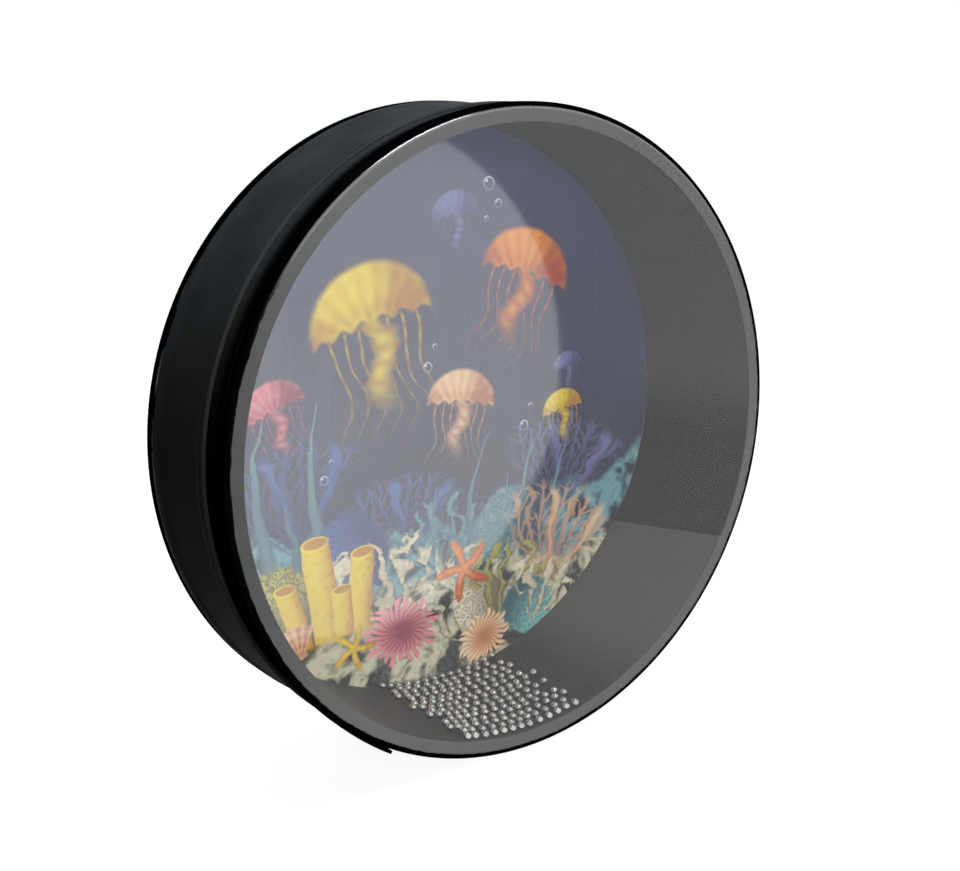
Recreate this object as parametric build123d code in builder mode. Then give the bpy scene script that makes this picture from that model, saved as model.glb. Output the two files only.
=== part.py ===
"""Ocean drum: a bent-wood hoop closed by two plastic heads, with loose steel beads between them.

The drum stands on its rim. Its axis is Y, the clear head faces -Y, Z is up,
and the origin is the middle of the drum.
"""

import os
from math import atan2, cos, degrees, isclose, pi, radians, sin, sqrt

from build123d import *

# Driving dimensions, in millimetres and degrees

# Bent-wood hoop, whose lapped ends leave a small step on the inside wall
HOOP_INNER_RADIUS = 120.0
HOOP_WALL = 5.4
HOOP_DEPTH = 65.0
HOOP_EDGE_BEVEL = 0.5
LAP_ANGLE = -28.0
LAP_STEP = 0.8
LAP_TAPER = 30.0

# Plastic heads, drawn over the hoop's edges and glued down its outside
FILM = 0.25
GLUE = 0.05
SKIRT = 22.0

# Edging tape round each rim; the front one's end has lifted
EDGING_WIDTH = 5.0
EDGING_THICKNESS = 1.4
TAIL_LEAVES_AT = -149.0
TAIL_LENGTH = 70.0
TAIL_BEND_RADIUS = 142.0

# Vinyl wrap round the side, hemmed along both edges and lapped at its ends
WRAP_THICKNESS = 0.65
WRAP_FRONT_MARGIN = 17.8
WRAP_HEM = 5.0
WRAP_BUTT_GAP = 0.2
WRAP_LAP_ANGLE = 38.0
WRAP_LAP_ARC = 6.0

# Steel beads, lying along the bottom of the hoop in lanes side by side
BEAD_DIAMETER = 3.2
BEAD_CLEARANCE = 0.25
BEAD_SPACING = 0.15
BEAD_LANES = 14
BEAD_COUNT = 13
BEAD_COUNT_VARIES = 2
BEAD_EXTRA_STEP = 0.6
BOTTOM = -90.0

# Sizes that follow from those; a bevel laid over another grows by this share of the layer's thickness

BEVEL_GAIN = 2 - sqrt(2)
HOOP_OUTER_RADIUS = HOOP_INNER_RADIUS + HOOP_WALL
HOOP_EDGE = HOOP_DEPTH / 2
HEAD_INSIDE = HOOP_EDGE + GLUE
HEAD_OUTSIDE = HEAD_INSIDE + FILM
SKIRT_INNER_RADIUS = HOOP_OUTER_RADIUS + GLUE
SKIRT_OUTER_RADIUS = SKIRT_INNER_RADIUS + FILM
SKIRT_END = HEAD_OUTSIDE - SKIRT
SHOULDER_INSIDE = HOOP_EDGE_BEVEL + BEVEL_GAIN * GLUE
SHOULDER_OUTSIDE = SHOULDER_INSIDE + BEVEL_GAIN * FILM
EDGING_INNER_RADIUS = SKIRT_OUTER_RADIUS + GLUE
EDGING_OUTER_RADIUS = EDGING_INNER_RADIUS + EDGING_THICKNESS
EDGING_START = HEAD_OUTSIDE - SHOULDER_OUTSIDE
EDGING_END = EDGING_START - EDGING_WIDTH

WRAP_ON_HOOP = HOOP_OUTER_RADIUS + GLUE
WRAP_ON_SKIRT = SKIRT_OUTER_RADIUS + GLUE
WRAP_HEM_RADIUS = WRAP_ON_SKIRT + 2 * WRAP_THICKNESS
WRAP_FRONT = -HEAD_OUTSIDE + WRAP_FRONT_MARGIN
WRAP_REAR = EDGING_END - WRAP_BUTT_GAP

BEAD_EDGE = BEAD_DIAMETER * (2 * pi / (15 + 5 * sqrt(5))) ** (1 / 3)
BEAD_FLATS = BEAD_EDGE * (3 + sqrt(5)) / (2 * sqrt(3))
BEAD_CORNERS = BEAD_EDGE * sqrt((5 + sqrt(5)) / 2)
BEAD_ORBIT = HOOP_INNER_RADIUS - BEAD_CLEARANCE - BEAD_CORNERS / 2
BEAD_STEP = degrees((BEAD_CORNERS + BEAD_SPACING) / BEAD_ORBIT)
LANE_WIDTH = 2 * (HEAD_INSIDE - BEAD_CLEARANCE) / BEAD_LANES
LANE_PLAY = (LANE_WIDTH - BEAD_CORNERS - BEAD_CLEARANCE) / 2

GOLDEN = (sqrt(5) - 1) / 2


def polar(radius, angle):
    """A point at that radius and angle, in the plane square to the drum's axis."""
    return (radius * cos(radians(angle)), radius * sin(radians(angle)))


def wander(number):
    """A steady spread of values from 0 to 1, one for each whole number."""
    return number * GOLDEN % 1


def finish(builder, name):
    """Names a piece and writes its file."""
    builder.part.label = name
    export_step(builder.part, f"parts/{name}.step")


os.makedirs("parts", exist_ok=True)

# Hoop

with BuildPart() as hoop:
    with BuildSketch(Plane.XZ):
        Circle(HOOP_OUTER_RADIUS)
        with BuildLine():
            lap_foot = polar(HOOP_INNER_RADIUS, LAP_ANGLE)
            lap_head = polar(HOOP_INNER_RADIUS + LAP_STEP, LAP_ANGLE)
            taper_middle = polar(HOOP_INNER_RADIUS + LAP_STEP / 2, LAP_ANGLE + LAP_TAPER / 2)
            taper_end = polar(HOOP_INNER_RADIUS, LAP_ANGLE + LAP_TAPER)
            CenterArc((0, 0), HOOP_INNER_RADIUS, LAP_ANGLE + LAP_TAPER, 360 - LAP_TAPER)
            Line(lap_foot, lap_head)
            ThreePointArc(lap_head, taper_middle, taper_end)
        make_face(mode=Mode.SUBTRACT)
    extrude(amount=HOOP_EDGE, both=True)
    rims = hoop.edges().filter_by(GeomType.CIRCLE)
    chamfer([rim for rim in rims if isclose(rim.radius, HOOP_OUTER_RADIUS)], HOOP_EDGE_BEVEL)
finish(hoop, "hoop")

# Heads: a flat disc, a shoulder over the hoop's bevelled edge and a skirt

for side, name in ((-1, "front_head"), (1, "rear_head")):
    with BuildPart() as head:
        with BuildSketch(Plane.XY) as section:
            with BuildLine():
                inner_corner = (SKIRT_INNER_RADIUS, side * HEAD_INSIDE)
                outer_corner = (SKIRT_OUTER_RADIUS, side * HEAD_OUTSIDE)
                Polyline(
                    (0, side * HEAD_INSIDE),
                    inner_corner,
                    (SKIRT_INNER_RADIUS, side * SKIRT_END),
                    (SKIRT_OUTER_RADIUS, side * SKIRT_END),
                    outer_corner,
                    (0, side * HEAD_OUTSIDE),
                    close=True,
                )
            make_face()
            chamfer(section.vertices().sort_by_distance(inner_corner)[0], SHOULDER_INSIDE)
            chamfer(section.vertices().sort_by_distance(outer_corner)[0], SHOULDER_OUTSIDE)
        revolve(axis=Axis.Y)
    finish(head, name)

# Edging tapes, the front one with its free end standing off the rim

with BuildPart() as rear_edging:
    with BuildSketch(Plane.XZ.offset(-EDGING_END)):
        Circle(EDGING_OUTER_RADIUS)
        Circle(EDGING_INNER_RADIUS, mode=Mode.SUBTRACT)
    extrude(amount=-EDGING_WIDTH)
finish(rear_edging, "rear_edging")

with BuildPart() as front_edging:
    with BuildSketch(Plane.XZ.offset(EDGING_END)):
        Circle(EDGING_OUTER_RADIUS)
        Circle(EDGING_INNER_RADIUS, mode=Mode.SUBTRACT)
        with BuildLine():
            tail = JernArc(
                start=polar(EDGING_OUTER_RADIUS - EDGING_THICKNESS / 2, TAIL_LEAVES_AT),
                tangent=polar(1, TAIL_LEAVES_AT + 90),
                radius=TAIL_BEND_RADIUS,
                arc_size=degrees(TAIL_LENGTH / TAIL_BEND_RADIUS),
            )
        trace(line_width=EDGING_THICKNESS)
        with Locations(tail @ 1):
            Circle(EDGING_THICKNESS / 2)
    extrude(amount=EDGING_WIDTH)
finish(front_edging, "front_edging")

# Side wrap: a section with a hem at each edge, and the lap of its two ends

with BuildPart() as side_wrap:
    with BuildSketch(Plane.XY):
        with BuildLine():
            Polyline(
                (WRAP_ON_SKIRT, WRAP_FRONT),
                (WRAP_HEM_RADIUS, WRAP_FRONT),
                (WRAP_HEM_RADIUS, WRAP_FRONT + WRAP_HEM),
                (WRAP_ON_HOOP + WRAP_THICKNESS, 0),
                (WRAP_HEM_RADIUS, WRAP_REAR - WRAP_HEM),
                (WRAP_HEM_RADIUS, WRAP_REAR),
                (WRAP_ON_SKIRT, WRAP_REAR),
                (WRAP_ON_SKIRT, SKIRT_END),
                (WRAP_ON_HOOP, 0),
                (WRAP_ON_SKIRT, -SKIRT_END),
                close=True,
            )
        make_face()
    revolve(axis=Axis.Y)
    lap_plane = Plane.XY.rotated((0, -WRAP_LAP_ANGLE, 0))
    with BuildSketch(lap_plane):
        with BuildLine():
            Polyline(
                (WRAP_ON_SKIRT, WRAP_FRONT),
                (WRAP_HEM_RADIUS, WRAP_FRONT),
                (WRAP_HEM_RADIUS, WRAP_REAR),
                (WRAP_ON_SKIRT, WRAP_REAR),
                close=True,
            )
        make_face()
    revolve(axis=Axis.Y, revolution_arc=WRAP_LAP_ARC)
finish(side_wrap, "side_wrap")

# Beads: a block trimmed by twenty flats, with a round ball's volume

flat_directions = [Vector(x, y, z) for x in (-1, 1) for y in (-1, 1) for z in (-1, 1)]
for long in (-1 - GOLDEN, 1 + GOLDEN):
    for short in (-GOLDEN, GOLDEN):
        flat_directions += [Vector(0, short, long), Vector(short, long, 0), Vector(long, 0, short)]

with BuildPart() as bead:
    Box(2 * BEAD_FLATS, 2 * BEAD_FLATS, 2 * BEAD_FLATS)
    for direction in flat_directions:
        flat = Plane(origin=direction.normalized() * (BEAD_FLATS / 2), z_dir=direction)
        split(bisect_by=flat, keep=Keep.BOTTOM)

# Each lane of beads hangs evenly about the lowest line of the hoop

for lane in range(BEAD_LANES):
    count = BEAD_COUNT + round(BEAD_COUNT_VARIES * (2 * wander(lane + 1) - 1))
    steps = [BEAD_STEP + BEAD_EXTRA_STEP * wander(5 * lane + 3 * number) for number in range(count)]
    angles = [sum(steps[:number]) for number in range(count)]
    lean = atan2(sum(sin(radians(angle)) for angle in angles), sum(cos(radians(angle)) for angle in angles))
    places = []
    for number, angle in enumerate(angles):
        turn = BOTTOM + angle - degrees(lean)
        x, z = polar(BEAD_ORBIT, turn)
        y = LANE_WIDTH * (lane + 0.5 - BEAD_LANES / 2) + LANE_PLAY * (2 * wander(7 * lane + 5 * number) - 1)
        places.append(Location((x, y, z), (0, -turn, 0)))
    with BuildPart() as bead_lane:
        with Locations(*places):
            add(bead.part)
    finish(bead_lane, f"bead_lane_{lane + 1:02d}")
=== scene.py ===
# %% [markdown]
# # Dressing an ocean drum
#
# An ocean drum is a flat hoop with a head on each side and loose steel beads between
# them. The CAD model fixes every size and place. This lesson gives each piece the
# shape and finish of the real one: clear film that shines, a printed rear head, black
# tape and vinyl, a painted wooden hoop and polished beads. Lengths are in metres.

# %% Load the frame
from math import atan2, cos, degrees, hypot, pi, radians, sin

import bpy
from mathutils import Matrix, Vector


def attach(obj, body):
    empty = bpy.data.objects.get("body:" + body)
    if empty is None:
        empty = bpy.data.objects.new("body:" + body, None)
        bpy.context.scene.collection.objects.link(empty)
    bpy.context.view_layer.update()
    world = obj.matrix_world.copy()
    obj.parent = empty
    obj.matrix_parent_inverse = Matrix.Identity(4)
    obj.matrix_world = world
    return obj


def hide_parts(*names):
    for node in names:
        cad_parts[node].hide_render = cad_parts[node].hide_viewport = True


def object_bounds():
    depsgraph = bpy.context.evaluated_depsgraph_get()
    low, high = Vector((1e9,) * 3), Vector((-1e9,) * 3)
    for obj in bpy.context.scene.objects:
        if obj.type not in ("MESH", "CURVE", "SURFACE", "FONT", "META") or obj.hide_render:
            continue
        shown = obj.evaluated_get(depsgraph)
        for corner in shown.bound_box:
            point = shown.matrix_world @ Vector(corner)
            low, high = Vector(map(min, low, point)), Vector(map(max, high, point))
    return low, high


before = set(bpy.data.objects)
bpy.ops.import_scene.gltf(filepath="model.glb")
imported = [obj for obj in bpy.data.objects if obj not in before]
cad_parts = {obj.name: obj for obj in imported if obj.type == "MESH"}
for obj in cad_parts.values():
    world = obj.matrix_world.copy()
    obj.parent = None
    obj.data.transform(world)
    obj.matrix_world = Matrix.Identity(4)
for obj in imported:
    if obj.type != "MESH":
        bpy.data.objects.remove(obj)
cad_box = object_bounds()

print("CAD box", [[round(c, 4) for c in corner] for corner in cad_box])

# %% [markdown]
# ## Where the camera stands
#
# The drum stands on its rim, turned so that the clear head and the left side show. The
# camera is a short way off, so the rear rim looks clearly smaller than the front one.
# Place, aim and focal length come from the rims' measured outlines, and nothing is
# shifted or tilted.

# %% Camera
CAMERA_PLACE = Vector((-0.32868, -0.45875, 0.12931))
CAMERA_AIM = Vector((-0.0146, -0.02153, 0.00229))
FOCAL_LENGTH, SENSOR_WIDTH = 54.15, 36

bpy.ops.object.select_all(action="DESELECT")
bpy.ops.object.camera_add(location=CAMERA_PLACE)
camera = bpy.context.object
camera.name = "camera"
camera.rotation_euler = (CAMERA_AIM - CAMERA_PLACE).to_track_quat("-Z", "Y").to_euler()
camera.data.lens = FOCAL_LENGTH
camera.data.sensor_width = SENSOR_WIDTH
bpy.context.scene.camera = camera
bpy.context.scene.view_settings.view_transform = "Standard"
print("camera", round((CAMERA_AIM - CAMERA_PLACE).length, 3), "m from its aim")

# %% [markdown]
# ## Amounts that vary over a surface
#
# Every finish below is worked out by math nodes from a point's place on the piece.
# Adding those nodes one by one makes long code, so this small class lets a node tree be
# written like plain arithmetic: each sum adds one Math node.


# %% Arithmetic with nodes
def connect(tree, value, place):
    """Feeds a socket with an amount, another socket or a plain value."""
    if isinstance(value, Amount):
        value = value.socket
    if isinstance(value, bpy.types.NodeSocket):
        tree.links.new(value, place)
    else:
        place.default_value = value


class Amount:
    """A number that varies over a surface."""

    def __init__(self, tree, socket):
        self.tree = tree
        self.socket = socket

    def by(self, operation, *others):
        node = self.tree.nodes.new("ShaderNodeMath")
        node.operation = operation
        for place, value in zip(node.inputs, (self, *others)):
            connect(self.tree, value, place)
        return Amount(self.tree, node.outputs[0])

    def __add__(self, other):
        return self.by("ADD", other)

    def __sub__(self, other):
        return self.by("SUBTRACT", other)

    def __mul__(self, other):
        return self.by("MULTIPLY", other)

    def __truediv__(self, other):
        return self.by("DIVIDE", other)

    def __pow__(self, other):
        return self.by("POWER", other)

    def plus(self, other, share):
        """Adds a share of another amount, in one node."""
        return other.by("MULTIPLY_ADD", share, self)

    def step(self, start, end):
        """Goes softly from 0 at start to 1 at end."""
        node = self.tree.nodes.new("ShaderNodeMapRange")
        node.interpolation_type = "SMOOTHSTEP"
        node.clamp = False
        for name, value in (("Value", self), ("From Min", start), ("From Max", end)):
            connect(self.tree, value, node.inputs[name])
        return Amount(self.tree, node.outputs["Result"])

    def sin(self):
        return self.by("SINE")

    def cos(self):
        return self.by("COSINE")

    def size(self):
        return self.by("ABSOLUTE")

    def most(self, other):
        return self.by("MAXIMUM", other)


print("arithmetic ready")

# %% [markdown]
# ## Brushes
#
# A finish starts from the point's own place (Object coordinates, in metres), and adds
# noise, cells or waves at the size that the real surface shows. These helpers wrap the
# few texture nodes that the drum needs. A texture's scale is about the number of its
# lumps in a metre.


# %% Texture and colour helpers
def apart(tree, vector):
    """The three coordinates of a vector."""
    node = tree.nodes.new("ShaderNodeSeparateXYZ")
    connect(tree, vector, node.inputs[0])
    return [Amount(tree, place) for place in node.outputs]


def together(tree, x, y, z):
    node = tree.nodes.new("ShaderNodeCombineXYZ")
    for value, place in zip((x, y, z), node.inputs):
        connect(tree, value, place)
    return node.outputs[0]


def place_on_piece(tree):
    return tree.nodes.new("ShaderNodeTexCoord").outputs["Object"]


def noise(tree, vector, scale, detail):
    node = tree.nodes.new("ShaderNodeTexNoise")
    connect(tree, vector, node.inputs["Vector"])
    node.inputs["Scale"].default_value = scale
    node.inputs["Detail"].default_value = detail
    node.inputs["Roughness"].default_value = 0.55
    return Amount(tree, node.outputs["Fac"])


def cells(tree, vector, scale):
    """The distance from the middle of the nearest cell, in cells."""
    node = tree.nodes.new("ShaderNodeTexVoronoi")
    connect(tree, vector, node.inputs["Vector"])
    node.inputs["Scale"].default_value = scale
    return Amount(tree, node.outputs["Distance"])


def grey(level):
    return (level, level, level, 1)


def mix(tree, amount, first, second, blend="MIX"):
    """A colour between two, or one laid over the other."""
    node = tree.nodes.new("ShaderNodeMix")
    node.data_type = "RGBA"
    node.blend_type = blend
    places = (node.inputs[0], node.inputs[6], node.inputs[7])
    for value, place in zip((amount, first, second), places):
        connect(tree, value, place)
    return node.outputs[2]


def bump(tree, height, distance, strength=1.0):
    node = tree.nodes.new("ShaderNodeBump")
    connect(tree, height, node.inputs["Height"])
    node.inputs["Distance"].default_value = distance
    node.inputs["Strength"].default_value = strength
    return node.outputs["Normal"]


print("brushes ready")

# %% [markdown]
# ## Coats
#
# A shader turns colours and roughness into a coat, and one coat can be laid over another
# where an amount says so, as lacquer is brushed over film. Most finishes here need only
# the Principled shader, which holds paint, ink and metal alike.


# %% Material helpers
def new_finish(name):
    """An empty material, and its node tree and output."""
    material = bpy.data.materials.new(name)
    material.use_nodes = True
    tree = material.node_tree
    tree.nodes.clear()
    return material, tree, tree.nodes.new("ShaderNodeOutputMaterial").inputs["Surface"]


def coat(tree, kind, **values):
    """A shader of that kind, with values for its sockets by name."""
    shader = tree.nodes.new("ShaderNodeBsdf" + kind)
    for name, value in values.items():
        connect(tree, value, shader.inputs[name.replace("_", " ")])
    return shader.outputs[0]


def laid_over(tree, amount, under, over):
    node = tree.nodes.new("ShaderNodeMixShader")
    for value, place in zip((amount, under, over), node.inputs):
        connect(tree, value, place)
    return node.outputs[0]


def principled(tree, surface, **values):
    """A Principled shader on the material's output."""
    tree.links.new(coat(tree, "Principled", **values), surface)


print("coats ready")

# %% [markdown]
# ## Floor and background
#
# The background is white paper. The floor and the world are white to the camera and in
# reflections, and give only a little light of their own, so that the lamps decide what
# is bright. The floor keeps a soft shadow under the rim: it is nearly white there, and
# quite white further away.

# %% World and floor
FLOOR = cad_box[0][2]
FLOOR_SIZE = 8
WORLD_LIGHT = 0.07
PAPER_WHITE, FAR_GAIN = 0.92, 0.06


def seen_directly(tree):
    """1 for rays from the camera, from gloss and through clear things."""
    path = tree.nodes.new("ShaderNodeLightPath")
    rays = ("Is Camera Ray", "Is Glossy Ray", "Is Transmission Ray")
    from_camera, from_gloss, through = [Amount(tree, path.outputs[ray]) for ray in rays]
    return from_camera.most(from_gloss).most(through)


world = bpy.data.worlds.new("white_room")
world.use_nodes = True
bpy.context.scene.world = world
tree = world.node_tree
sky = tree.nodes["Background"]
sky.inputs["Color"].default_value = (1, 1, 1, 1)
connect(tree, seen_directly(tree) * (1 - WORLD_LIGHT) + WORLD_LIGHT, sky.inputs["Strength"])

bpy.ops.object.select_all(action="DESELECT")
bpy.ops.mesh.primitive_plane_add(size=FLOOR_SIZE, location=(0, 0, FLOOR))
floor = bpy.context.object
floor.name = "floor"
paper, tree, surface = new_finish("white_paper")
x, y, z = apart(tree, place_on_piece(tree))
away = (x * x + y * y) ** 0.5
principled(
    tree,
    surface,
    Base_Color=grey(0.10),
    Roughness=0.9,
    Emission_Color=(1, 1, 1, 1),
    Emission_Strength=seen_directly(tree) * (away.step(0.15, 0.9) * FAR_GAIN + PAPER_WHITE),
)
floor.data.materials.append(paper)
print("floor at", round(FLOOR, 5))

# %% [markdown]
# ## Lamps
#
# One lamp hangs overhead, and others stand in front, behind and at the right, so the
# left side of the drum falls into shade. Square lamps give soft edges to shadows. Only
# the overhead lamp shows in gloss, where it draws a bright line along the rim: a lamp
# mirrored in the flat film would be a white patch over the picture.


# %% Lamps
def softbox(name, place, size, power, mirrored=False):
    """A square lamp aimed at the drum; only a mirrored one shows in gloss."""
    bpy.ops.object.select_all(action="DESELECT")
    bpy.ops.object.light_add(type="AREA", location=place)
    lamp = bpy.context.object
    lamp.name = name
    lamp.rotation_euler = (-Vector(place)).to_track_quat("-Z", "Y").to_euler()
    lamp.data.size = size
    lamp.data.energy = power
    lamp.visible_camera = False
    lamp.visible_glossy = mirrored


softbox("overhead_lamp", (0.05, -0.10, 0.95), 0.45, 7.0, mirrored=True)
softbox("front_lamp", (-0.15, -0.85, 0.15), 0.4, 8.0)
softbox("back_lamp", (0.15, 0.90, 0.25), 0.4, 8.0)
softbox("side_lamp", (0.95, 0.10, 0.30), 0.4, 8.0)

# %% [markdown]
# ## Shaping tools
#
# Nearly every piece is a ring, so most shapes here are a flat section that is spun round
# the drum's axis. Edit mode works on what is selected, and with no mouse the selection
# is made in code, by where a vertex, an edge or a face lies.

# %% Modelling helpers
TOUCHING = 1e-5


def fresh_piece(name):
    """Names the primitive just added and moves its place into its mesh."""
    piece = bpy.context.object
    piece.name = piece.data.name = name
    bpy.ops.object.transform_apply(location=True, rotation=True, scale=True)
    return piece


def select_only(piece, kind, test):
    """Goes to edit mode with only those vertices, edges or faces selected that pass."""
    bpy.ops.object.mode_set(mode="EDIT")
    bpy.ops.mesh.select_mode(type=kind)
    bpy.ops.mesh.select_all(action="DESELECT")
    bpy.ops.object.mode_set(mode="OBJECT")
    mesh = piece.data
    parts = {"VERT": mesh.vertices, "EDGE": mesh.edges, "FACE": mesh.polygons}[kind]
    for part in parts:
        part.select = bool(test(part))
    bpy.ops.object.mode_set(mode="EDIT")


def ends(piece, edge):
    return [piece.data.vertices[number].co for number in edge.vertices]


def turn_of(point):
    """A point's angle round the drum's axis, in degrees from +X towards +Z."""
    return degrees(atan2(point.z, point.x))


def section(name, inner, outer, front, back):
    """A flat plate at the drum's right side, which a spin makes a ring."""
    middle = ((inner + outer) / 2, (front + back) / 2, 0)
    bpy.ops.object.select_all(action="DESELECT")
    bpy.ops.mesh.primitive_plane_add(size=1, location=middle)
    bpy.context.object.scale = (outer - inner, back - front, 1)
    return fresh_piece(name)


def round_outer_corners(piece, inner, outer, amount):
    """Rounds the section's two corners that are on the outside of the ring."""
    select_only(piece, "VERT", lambda v: v.co.x > (inner + outer) / 2)
    bpy.ops.mesh.bevel(offset=amount, segments=4, affect="VERTICES")


def spin_selected(turn, steps, centre=(0, 0, 0)):
    bpy.ops.mesh.spin(steps=steps, angle=radians(turn), center=centre, axis=(0, 1, 0))


def bend_round(piece, start, turn, steps):
    """Turns the section to its starting angle and spins it round the drum."""
    bpy.ops.object.mode_set(mode="EDIT")
    bpy.ops.mesh.select_all(action="SELECT")
    bpy.ops.transform.rotate(value=radians(start), orient_axis="Y", center_override=(0, 0, 0))
    spin_selected(turn, steps)


def widen(grow):
    """Makes what is selected wider about the drum's axis, but not deeper."""
    bpy.ops.transform.resize(value=(grow, 1, grow), center_override=(0, 0, 0))


def face_outwards():
    bpy.ops.mesh.select_all(action="SELECT")
    bpy.ops.mesh.normals_make_consistent(inside=False)
    bpy.ops.object.mode_set(mode="OBJECT")


def add_modifier(piece, kind, **values):
    modifier = piece.modifiers.new(kind.lower(), kind)
    for name, value in values.items():
        setattr(modifier, name, value)
    bpy.ops.object.modifier_apply(modifier=modifier.name)


def dress(piece, finish, slot, body, *nodes, smooth=40):
    """Gives a piece its finish and its place in the frame."""
    bpy.ops.object.select_all(action="DESELECT")
    piece.select_set(True)
    bpy.context.view_layer.objects.active = piece
    bpy.ops.object.shade_smooth_by_angle(angle=radians(smooth))
    piece.data.materials.clear()
    piece.data.materials.append(finish)
    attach(piece, body)
    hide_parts(*nodes)
    print(piece.name, len(piece.data.polygons), "faces")


print("shaping tools ready")

# %% [markdown]
# ## The hoop
#
# The hoop is a thin board bent into a ring. Its ends overlap in a scarf: the end that
# lies underneath is thinned, so the inside wall has a low step where the other end stops.
# The section is spun almost all the way round, which leaves the two ends as real faces,
# and then the first part of the inside wall is moved outwards, less and less.

# %% Hoop shape
HOOP_INNER, HOOP_OUTER, HOOP_HALF = 0.120, 0.1254, 0.0325
HOOP_ROUNDING = 0.0010
HOOP_TURN, HOOP_STEPS = 359.98, 300
ROW_TURN = HOOP_TURN / HOOP_STEPS
LAP_AT, LAP_STEP, LAP_TAPER = -28.0, 0.0008, 30.0
THINNED_ROWS = round(LAP_TAPER / ROW_TURN)


def in_row(vertex, at):
    """Whether a vertex is on the inside wall, in the row at that angle."""
    inside = hypot(vertex.co.x, vertex.co.z) < HOOP_INNER + TOUCHING
    return inside and -ROW_TURN / 100 < turn_of(vertex.co) - at < ROW_TURN / 2


hoop = section("hoop_board", HOOP_INNER, HOOP_OUTER, -HOOP_HALF, HOOP_HALF)
round_outer_corners(hoop, HOOP_INNER, HOOP_OUTER, HOOP_ROUNDING)
bend_round(hoop, LAP_AT, HOOP_TURN, HOOP_STEPS)
face_outwards()
for row in range(THINNED_ROWS):
    select_only(hoop, "VERT", lambda v: in_row(v, LAP_AT + row * ROW_TURN))
    widen(1 + LAP_STEP / HOOP_INNER * (1 - row / THINNED_ROWS))
bpy.ops.object.mode_set(mode="OBJECT")
print("hoop", len(hoop.data.vertices), "vertices")

# %% [markdown]
# ## Hoop paint
#
# The board is sprayed with thin black paint. The inside wall is an even dark grey that
# lets a little of the wood's figure through. Painted shade darkens it above the seam of the
# lapped ends and along the bottom, under the beads. The seam leans a little, so a dark
# slanting line is painted along the step: glue in the joint and the step's painted shadow.
# The board's edges are sanded; painted light makes them dark at the left and grey towards
# the right, with dark specks in small dents. Only the edges get the dents' bump: a wall seen
# through a shining film looks best when it is quite calm.

# %% Hoop finish
SEAM_LEAN = 1.15

sprayed_paint, tree, surface = new_finish("sprayed_paint")
here = place_on_piece(tree)
x, y, z = apart(tree, here)
edge_face = y.size().step(HOOP_HALF - 0.0007, HOOP_HALF - 0.0002)
figure = noise(tree, together(tree, x, y * 8.0, z), 60, 6)
mottle = noise(tree, here, 220, 4)
specks = cells(tree, here, 420).step(0.22, 0.10) * noise(tree, here, 90, 2).step(0.50, 0.58) * edge_face

# Painted shade: the wall darkens above the slanting seam and along the bottom under the beads; the seam's
# dark line is glue plus the step's painted shadow.
past_lap = z.by("ARCTAN2", x) - radians(LAP_AT) + (y + HOOP_HALF) * SEAM_LEAN
painted_shade_above_seam = past_lap.step(-0.004, 0.004) * past_lap.step(0.66, 0.34)
seam_glue_and_painted_shadow = past_lap.size().step(0.011, 0.004) * noise(tree, here, 150, 2).step(0.1, 0.4)
painted_shade_under_beads = z.step(-0.088, -0.112) * x.step(0.085, 0.035)
wall_colour = mix(tree, figure, (0.094, 0.096, 0.095, 1), (0.108, 0.110, 0.109, 1))
wall_colour = mix(tree, painted_shade_above_seam * 0.95, wall_colour, grey(0.006))
wall_colour = mix(tree, painted_shade_under_beads * 0.9, wall_colour, grey(0.012))
wall_colour = mix(tree, seam_glue_and_painted_shadow * 0.9, wall_colour, grey(0.004))

# Painted light: the sanded edges go from dark at the left to grey at the right, as if lit from the right;
# a little mottle is their own tone.
sanded_tone_and_painted_light = x.plus(z.size(), 0.3).step(-0.135, -0.035) * 0.92 + mottle * 0.08
edge_colour = mix(tree, sanded_tone_and_painted_light, grey(0.012), grey(0.092))
colour = mix(tree, edge_face, wall_colour, edge_colour)
principled(
    tree,
    surface,
    Base_Color=mix(tree, specks * 0.8, colour, (0.018, 0.018, 0.019, 1)),
    Roughness=0.5,
    Specular_IOR_Level=edge_face * -0.09 + 0.10,
    Normal=bump(tree, (mottle * 0.5 - specks) * edge_face, 0.00003),
)
dress(hoop, sprayed_paint, "hoop_paint", "drum", "hoop")

# %% [markdown]
# ## The heads
#
# Each head is polyester film, heat-shrunk over the hoop's edge: a flat disc, a round
# shoulder and a skirt. It starts as a cylinder with one lid. The lid's rim is bevelled
# round, insets part the lid into rings, and Solidify gives the film its thickness. The
# rounded shoulder is what catches the thin bright line along the rim.

# %% Head shapes
FILM, SKIRT_OUTER, FACE, SKIRT = 0.00025, 0.1257, 0.0328, 0.022
SHOULDER = 0.0012
LID_RINGS = (0.008, 0.03, 0.04)


def drumhead(name, side):
    bpy.ops.object.select_all(action="DESELECT")
    bpy.ops.mesh.primitive_cylinder_add(
        vertices=320,
        radius=SKIRT_OUTER,
        depth=SKIRT,
        end_fill_type="NGON",
        location=(0, side * (FACE - SKIRT / 2), 0),
        rotation=(pi / 2, 0, 0),
    )
    head = fresh_piece(name)
    select_only(head, "FACE", lambda f: f.normal.y * side < -0.9)
    bpy.ops.mesh.delete(type="ONLY_FACE")
    select_only(head, "EDGE", lambda e: all(point.y * side > FACE - TOUCHING for point in ends(head, e)))
    bpy.ops.mesh.bevel(offset=SHOULDER, segments=7, affect="EDGES")
    select_only(head, "FACE", lambda f: f.normal.y * side > 0.999)
    for width in LID_RINGS:
        bpy.ops.mesh.inset(thickness=width)
    face_outwards()
    add_modifier(head, "SOLIDIFY", thickness=FILM, offset=-1)
    return head


front_film = drumhead("front_film", -1)
rear_film = drumhead("rear_film", 1)
print("heads", len(front_film.data.polygons), len(rear_film.data.polygons))

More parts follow.
